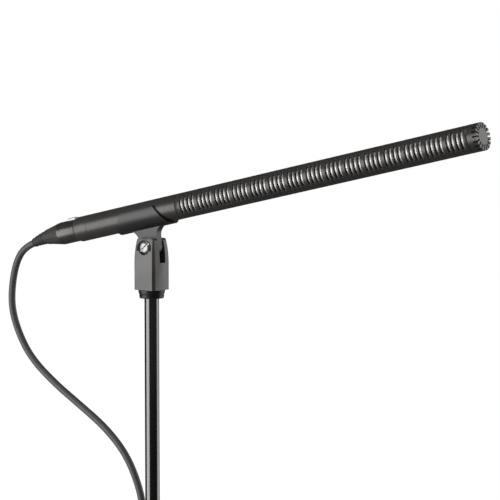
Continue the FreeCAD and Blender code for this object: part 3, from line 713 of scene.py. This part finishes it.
UPPER_RADIUS, UPPER_BORE = 6.0, 5.0
turned_piece("pole_tube", "upper_tube", "upper_pole", "pole_black",
             ring_corners(UPPER_RADIUS, UPPER_BORE, upper_low, upper_high))
turned_piece("grip_tube", "outer_tube", "grip", "pole_black",
             [(8.0, outer_low, 0.2), (8.0, lock_low, 0.1), (7.7, lock_low, 0.05), (7.7, outer_high, 0.2),
              (7.0, outer_high, 0.1), (7.0, outer_low, 0.1)])
turned_piece("collar", "lock_collar", "upper_pole", "anodised_black",
             [(9.9, collar_low, 0.5), (10.34, collar_low + 2.45, 0.15), (9.95, collar_low + 2.7, 0.1),
              (9.95, collar_low + 3.3, 0.1), (10.5, collar_low + 3.55, 0.15), (11.15, collar_high, 0.35),
              (4.8, collar_high, 0.1), (4.8, collar_low + 2.05, 0.1), (6.02, collar_low + 2.05, 0.1),
              (6.02, collar_low, 0.15)])
turned_piece("lock_collar_body", "lock_body", "grip", "anodised_black",
             [(12.0, lock_low, 0.4), (12.0, lock_low + 7, 0.4), (10.4, lock_low + 7, 0.1),
              (10.4, lock_high, 0.3), (6.4, lock_high, 0.2), (6.4, outer_high + 0.02, 0.1),
              (7.72, outer_high + 0.02, 0.1), (7.72, lock_low, 0.1)])
turned_piece("twist_sleeve", "lock_sleeve", "lock_sleeve", "anodised_black",
             [(12.0, sleeve_low, 0.4), (12.0, sleeve_high - 2, 0.6), (10.0, sleeve_high, 0.4),
              (6.5, sleeve_high, 0.3), (6.5, sleeve_high - 7.6, 0.1), (8.55, sleeve_high - 7.6, 0.1),
              (10.35, outer_high + 3.1, 0.1), (10.45, outer_high + 3.0, 0.0), (10.45, sleeve_low, 0.2)])


def ribbed(ribs, depth, inner):
    """Swell that cuts round grooves: outside inner, r - depth * (1 - |cos(ribs a / 2)|) ** 1.5."""
    def swell(r, z, a):
        wave = (1 - np.abs(np.cos(ribs * a / 2))) ** 1.5
        return np.where(r > inner, r - depth * wave, r)
    return swell


turned_piece("ribbed_grip", "lock_grip", "lock_sleeve", "black_rubber",
             [(12.9, grip_low, 0.5), (13.4, grip_low + 2.2, 0.5), (13.4, grip_high - 2.2, 0.5),
              (12.9, grip_high, 0.5), (12.0, grip_high, 0.05), (12.0, grip_low, 0.05)],
             turns=288, swell=ribbed(24, 0.85, 12.3))
turned_piece("butt_cover", "butt_cap", "grip", "black_rubber",
             [(6.9, 0.0, 0.5), (8.0, 1.3, 0.4), (8.0, outer_low, 0.25), (6.98, outer_low, 0.1),
              (6.98, cap_high, 0.2), (5.8, cap_high, 0.1), (5.8, 0.0, 0.2)])
print("turned so far", len(made_pieces))

# %% [markdown]
# ## The microphone's tail and the two plugs
#
# Behind the slots the tube runs on plain as far as the plug. The plug ends in a barrel with shallow finger
# flutes and a soft ringed boot, which droops a little where the lead pulls on it. Both plugs are built alike,
# so the same functions draw the one at the lead's far end.

# %% Rear housing, plug barrel and boots
REAR_END = 395.0
PLUG_START = REAR_END + 0.1
SHELL_END = PLUG_START + 19.4
BARREL_END = SHELL_END + 17.7
BOOT_LENGTH, BOOT_DROOP = 17.0, 8.0

turned_piece("rear_body", "rear_housing", "microphone", "mic_enamel",
             [(10.5, TUBE_END + 0.02, 0.2), (10.5, 379.4, 0.1), (10.36, 379.6, 0.05), (10.36, 380.1, 0.05),
              (10.5, 380.3, 0.1), (10.5, 393.5, 0.5), (10.0, REAR_END, 0.3), (8.25, REAR_END, 0.25),
              (8.25, 379.0, 0.1), (9.3, 379.0, 0.1), (9.3, TUBE_END + 0.02, 0.1)],
             where=on_microphone, turns=128)


def fluted(count, depth, start, end):
    """Swell with shallow finger flutes between two heights: r - depth * window * (1 + cos(count a)) / 2."""
    def swell(r, z, a):
        share = np.clip((z - start) / (end - start), 0, 1)
        window = np.sin(math.pi * share) ** 0.5
        return np.where(r > 6.2, r - depth * window * (1 + np.cos(count * a)) / 2, r)
    return swell


def steps_between(first, last, count):
    """Corners on a straight side, so that a swell has something to move."""
    return [(*(np.array(first) + (np.array(last) - first) * share), 0.0)
            for share in np.linspace(0, 1, count + 2)[1:-1]]


def barrel_corners(base, tip, low, high, bore):
    side = steps_between((base, low + 1.5), (tip, high - 0.8), 12)
    return [(base - 0.1, low, 0.3), (base, low + 0.9, 0.3), *side, (tip, high, 0.35), (bore, high, 0.15),
            (bore + 1.6, low, 0.15)]


turned_piece("plug_collar", "plug_barrel", "microphone", "black_rubber",
             barrel_corners(9.3, 6.4, SHELL_END + 0.1, BARREL_END, 4.85),
             where=on_microphone, turns=120, swell=fluted(12, 0.28, SHELL_END + 2, BARREL_END - 2))


def boot_corners(base, tip, length, rings=4):
    """Section of a tapering sleeve with a few shallow rings cut into it, from its base at 0 to its tip."""
    corners = [(base, 0.0, 0.2)]
    for place in np.linspace(0.2, 0.86, rings) * length:
        radius = base + (tip - base) * place / length
        corners += [(radius, place - 0.75, 0.12), (radius - 0.42, place - 0.45, 0.12),
                    (radius - 0.42, place + 0.45, 0.12), (radius, place + 0.75, 0.12)]
    return corners + [(tip, length, 0.5), (3.03, length, 0.1), (3.03, 0.0, 0.1)]


def drooping(points):
    """Bends the boot evenly: at distance s its axis points BOOT_DROOP * (0.5 + s / length) below straight."""
    droop = math.radians(BOOT_DROOP)
    angle = droop * (0.5 + points[:, 2] / BOOT_LENGTH)
    back = BOOT_LENGTH / droop * (np.sin(angle) - math.sin(droop / 2))
    down = BOOT_LENGTH / droop * (math.cos(droop / 2) - np.cos(angle))
    bent = np.column_stack([points[:, 0], points[:, 1] * np.cos(angle) - down,
                            BARREL_END + back + points[:, 1] * np.sin(angle)])
    return on_microphone(bent)


turned_piece("plug_boot_sleeve", "plug_boot", "microphone", "black_rubber",
             boot_corners(6.0, 3.7, BOOT_LENGTH), where=drooping, turns=64)

line_low, line_high = (corner[2] for corner in box_mm("line_shell"))
barrel_low, barrel_high = (corner[2] for corner in box_mm("line_barrel"))
boot_foot = box_mm("line_boot")[0][2]
turned_piece("line_shell_body", "line_shell", "upper_pole", "plug_metal",
             [(9.5, line_low, 0.35), (9.5, line_high - 3.4, 0.1), (9.2, line_high - 3.2, 0.05),
              (9.2, line_high - 2.7, 0.05), (9.5, line_high - 2.5, 0.1), (9.5, line_high, 0.3),
              (8.05, line_high, 0.15), (8.05, line_low, 0.3)], where=on_line_plug)
turned_piece("line_collar", "line_barrel", "upper_pole", "black_rubber",
             barrel_corners(8.6, 5.9, barrel_low, barrel_high, 4.6),
             where=on_line_plug, turns=120, swell=fluted(12, 0.28, barrel_low + 2, barrel_high - 2))
turned_piece("line_boot_sleeve", "line_boot", "upper_pole", "black_rubber",
             [(r, boot_foot + z, fillet) for r, z, fillet in boot_corners(5.6, 3.7, 21.95)],
             where=on_line_plug, turns=64)
print("turned pieces", len(made_pieces))

# %% [markdown]
# ## The lead
#
# A microphone lead is soft but not limp: it leaves the plug's boot straight, falls in one wide curve and
# comes in to the pole, where a strap holds it. The rest of its two metres is folded into a hank in line with
# the pole. Its route is a short list of points, and a smooth NURBS spline runs near them, as a real lead
# cuts inside every corner that is drawn for it.

# %% Lead: its free stretch
LEAD_RADIUS = 3.0
hank_low, hank_high = box_mm("cable_hank")
tail_low = box_mm("cable_tail")[0]

DROP_ROUTE = [(-129.71, 713.74), (-140.4, 709.9), (-150.6, 698.0), (-156.4, 677.0), (-157.2, 655.0),
              (-147.8, 632.0), (-133.0, 612.4), (-106.4, 593.4), (-78.0, 577.4), (-50.0, 561.0),
              (-28.0, 541.0), (-14.8, 517.0), (-9.8, 497.0), (-9.8, 477.0)]


def spline(name, points, bevel_mm=0.0):
    """Open NURBS curve of order 3 with these points, in millimetres, as its control points."""
    curve = bpy.data.curves.new(name, "CURVE")
    curve.dimensions = "3D"
    run = curve.splines.new("NURBS")
    run.points.add(len(points) - 1)
    weighted = np.column_stack([np.array(points) * MM, np.ones(len(points))])
    run.points.foreach_set("co", weighted.ravel())
    run.order_u = 3
    run.use_endpoint_u = True
    curve.resolution_u = 8
    curve.bevel_depth = bevel_mm * MM
    curve.bevel_resolution = 5
    curve.use_fill_caps = bevel_mm > 0
    made = bpy.data.objects.new(name, curve)
    bpy.context.scene.collection.objects.link(made)
    return made


def centreline(points):
    """Points along the spline of a route, in millimetres, read from the curve itself."""
    guide = spline("guide", points)
    bpy.context.view_layer.update()
    mesh = bpy.data.meshes.new_from_object(guide.evaluated_get(bpy.context.evaluated_depsgraph_get()))
    places = np.zeros(len(mesh.vertices) * 3)
    mesh.vertices.foreach_get("co", places)
    bpy.data.objects.remove(guide)
    return places.reshape(-1, 3) / MM


def tube_along(name, path, radius, sides=24):
    """Round tube round a path that stays in the plane y = 0: path + radius (cos a * normal + sin a * Y)."""
    along = np.gradient(path, axis=0)
    along /= np.linalg.norm(along, axis=1)[:, None]
    across = np.cross([0.0, 1.0, 0.0], along)
    angle = np.linspace(0, 2 * math.pi, sides, endpoint=False)
    ring = np.cos(angle)[None, :, None] * across[:, None] + np.sin(angle)[None, :, None] * [0.0, 1.0, 0.0]
    body = path[:, None] + radius * ring
    caps = [np.repeat(path[[end]], sides, axis=0)[None] for end in (0, -1)]
    grid = np.concatenate([caps[0], body, caps[1]])
    return solid(name, grid, grid_faces(*grid.shape[:2], False, True))


drop_path = centreline([(x, 0.0, z) for x, z in DROP_ROUTE])
lead_drop = tube_along("lead_drop", drop_path, LEAD_RADIUS)
lead_drop.data.materials.append(finishes["lead_jacket"].material)
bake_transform(lead_drop)
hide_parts("cable_drop")

# %% [markdown]
# ## The hank
#
# A folded hank is a long flat figure: straight runs side by side through a narrow waist, where the strap
# grips them, and a round fold at each end. One half turn is a run and the fold after it. A loop lays them
# one after another, and each has its own fold radius, place in the waist and layer.

# %% Lead: the hank, the tail and its plug's end
HANK_MIDDLE = (hank_low[2] + hank_high[2]) / 2
FOLD_OUTSIDE = (hank_high[1] - hank_low[1]) / 2
RUN_HALF = (hank_high[2] - hank_low[2]) / 2 - FOLD_OUTSIDE
WAIST_HALF, WAIST_OUTER, WAIST_INNER = 12.0, 9.3, 3.1
LEAD_STEP = 6.2
LAYERS = [hank_high[0] - 3.2 - LEAD_STEP * layer for layer in range(3)]
WIDE = (FOLD_OUTSIDE - LEAD_RADIUS, WAIST_OUTER)
NARROW = (FOLD_OUTSIDE - LEAD_RADIUS - LEAD_STEP, WAIST_INNER)
HALF_TURNS = [(WIDE, 0), (WIDE, 0), (NARROW, 0), (NARROW, 0), (NARROW, 1), (NARROW, 1), (WIDE, 1), (WIDE, 1),
              (WIDE, 2)]


def run_width(height, fold, waist):
    """Distance from the middle: waist beside the strap, then half a cosine wave out to the fold."""
    share = np.clip((np.abs(height) - WAIST_HALF) / (RUN_HALF - WAIST_HALF), 0, 1)
    return waist + (fold - waist) * (1 - np.cos(math.pi * share)) / 2


def hank_points():
    """Points of every run and fold, in order, from the top of the hank to its bottom."""
    heights = np.linspace(1, -1, 9) * RUN_HALF
    turning = np.radians([30, 60, 90, 120, 150])
    points = [np.array([[LAYERS[0], 0.0, hank_high[2]], [LAYERS[0], 13.0, hank_high[2] - 5.5]])]
    for index, ((fold, waist), layer) in enumerate(HALF_TURNS):
        side = 1 if index % 2 == 0 else -1
        run = np.column_stack([np.full(9, LAYERS[layer]), side * run_width(heights, fold, waist),
                               HANK_MIDDLE + side * heights])
        points.append(run)
        if index == len(HALF_TURNS) - 1:
            continue
        (next_fold, _), next_layer = HALF_TURNS[index + 1]
        share = turning / math.pi
        radius = fold + (next_fold - fold) * share
        depth = LAYERS[layer] + (LAYERS[next_layer] - LAYERS[layer]) * share
        low = HANK_MIDDLE - side * RUN_HALF
        points.append(np.column_stack([depth, side * radius * np.cos(turning),
                                       low - side * radius * np.sin(turning)]))
    plug_x = tail_low[0] + LEAD_RADIUS
    drop_x = LAYERS[2]
    bottom = hank_low[2]
    points.append(np.array([[drop_x, 17.0, bottom + 10.5], [drop_x, 4.0, bottom + 1.0],
                            [drop_x, 0.0, bottom - 9.4], [plug_x, 0.0, bottom - 20.6],
                            [plug_x, 0.0, tail_low[2]]]))
    return np.concatenate(points)


hank_route = hank_points()
hank_path = centreline(hank_route)
lead_hank = spline("lead_hank", hank_route, LEAD_RADIUS)
lead_hank.data.materials.append(finishes["lead_jacket"].material)
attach(lead_hank, "upper_pole")
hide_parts("cable_hank", "cable_tail")

# %% [markdown]
# ## Straps
#
# A hook and loop strap pulls itself into the shortest line round what it holds. For circles in a plane that
# line comes from one rule: in each direction, take the point of whichever circle reaches furthest. The
# strap follows it once round and a little more, so that its end lies over its start.

# %% Straps round the pole
STRAP_GAP = 0.15


def wrapped(circles, clearance, start, turns):
    """Points and directions round (x, y, r) circles: for each direction, the furthest point of them all."""
    circles = np.array(circles, float)
    angle = math.radians(start) + np.linspace(0, 2 * math.pi * turns, int(150 * turns))
    direction = np.column_stack([np.cos(angle), np.sin(angle)])
    reach = direction @ circles[:, :2].T + circles[:, 2]
    best = reach.argmax(axis=1)
    return circles[best, :2] + direction * (circles[best, 2] + clearance)[:, None], direction


def strap(name, node, circles, low, high, thickness, start, turns=1.14):
    """Flat band from one height to another, which climbs over its own start where a turn is complete."""
    base, direction = wrapped(circles, STRAP_GAP, start, turns)
    done = np.linspace(0, turns, len(base))
    lift = (thickness + 0.05) * np.clip((done - 0.94) / 0.06, 0, 1)
    fillet = thickness * 0.4
    section = rounded([(0.0, low, fillet), (thickness, low, fillet), (thickness, high, fillet),
                       (0.0, high, fillet)], 4)
    out = base[:, None] + direction[:, None] * (section[None, :, :1] + lift[:, None, None])
    grid = np.concatenate([out, np.broadcast_to(section[None, :, 1:], out.shape[:2] + (1,))], axis=2)
    ends = [np.broadcast_to(grid[end].mean(axis=0), grid[end].shape)[None] for end in (0, -1)]
    grid = np.concatenate([ends[0], grid, ends[1]])
    return fit_in(solid(name, grid, grid_faces(*grid.shape[:2], False, True), 60.0),
                  "upper_pole", "hook_and_loop", node)


def strap_heights(node):
    return [corner[2] for corner in box_mm(node)]


pole_circle = (0.0, 0.0, UPPER_RADIUS)
lead_circle = (DROP_ROUTE[-1][0], 0.0, LEAD_RADIUS)
waist_circles = [(layer, side * WAIST_OUTER, LEAD_RADIUS) for layer in LAYERS for side in (1, -1)]
strap("waist_strap", "hank_strap", [pole_circle] + waist_circles, *strap_heights("hank_strap"),
      thickness=1.1, start=245.0)
strap("lead_strap", "keeper_strap", [pole_circle, lead_circle], *strap_heights("keeper_strap"),
      thickness=0.9, start=155.0)
print("straps done")

# %% [markdown]
# ## Floor and light
#
# The object stands on a pale floor in a white studio. A large soft box on each side gives the pole its two
# bright bands, one broad box from above gives the microphone its soft ridge of light, and the space behind
# the camera stays darker, so the black enamel keeps a dark core.

# %% Floor, sky and lamps
def soft_box(name, turn, reach, height, size, power):
    """Rectangular lamp aimed at the clip: turn degrees round it, from the camera towards its right."""
    data = bpy.data.lights.new(name, "AREA")
    data.shape = "RECTANGLE"
    data.size, data.size_y = size
    data.energy = power
    lamp = bpy.data.objects.new(name, data)
    heading = math.radians(CAMERA_TURN - 90.0 + turn)
    middle = pivot * MM
    lamp.location = middle + [reach * math.cos(heading), reach * math.sin(heading), height]
    lamp.rotation_euler = (math.pi / 2 - math.atan2(height, reach), 0.0, heading + math.pi / 2)
    bpy.context.scene.collection.objects.link(lamp)


def camera_only(tree, others, seen):
    """A value that the camera sees, and another one for every other ray."""
    ray = tree.nodes.new("ShaderNodeLightPath")
    chosen = tree.nodes.new("ShaderNodeMix")
    chosen.inputs[2].default_value, chosen.inputs[3].default_value = others, seen
    tree.links.new(ray.outputs["Is Camera Ray"], chosen.inputs[0])
    return chosen.outputs[0]


def studio_world(white, ambient):
    """White to the camera, and a dim room for everything else."""
    world = bpy.data.worlds.new("studio")
    world.use_nodes = True
    background = world.node_tree.nodes["Background"]
    background.inputs["Color"].default_value = (1.0, 1.0, 1.0, 1.0)
    world.node_tree.links.new(camera_only(world.node_tree, ambient, white), background.inputs["Strength"])
    bpy.context.scene.world = world


def pale_floor(reach, glow):
    """Large flat sheet under the butt end. Its glow shows to the camera only, so it lights nothing."""
    corners = reach * np.array([[-1, -1, 0], [1, -1, 0], [1, 1, 0], [-1, 1, 0]])
    floor = solid("floor", corners / MM, np.array([[0, 1, 2, 3]]))
    finish = Finish("floor_white", (0.25, 0.25, 0.25), 0.9)
    finish.set({"Emission Color": (1.0, 1.0, 1.0, 1.0)})
    finish.tree.links.new(camera_only(finish.tree, 0.0, glow), finish.shader.inputs["Emission Strength"])
    floor.data.materials.append(finish.material)


studio_world(white=1.0, ambient=0.10)
pale_floor(reach=60.0, glow=0.97)
soft_box("band_left", turn=-68.0, reach=1.4, height=-0.10, size=(1.35, 1.2), power=22.0)
soft_box("band_right", turn=108.0, reach=1.4, height=0.05, size=(1.1, 1.4), power=11.0)
soft_box("ridge_light", turn=-20.0, reach=0.7, height=1.4, size=(1.4, 0.7), power=6.0)
bpy.context.scene.view_settings.view_transform = "Standard"
bpy.context.scene.view_settings.look = "None"
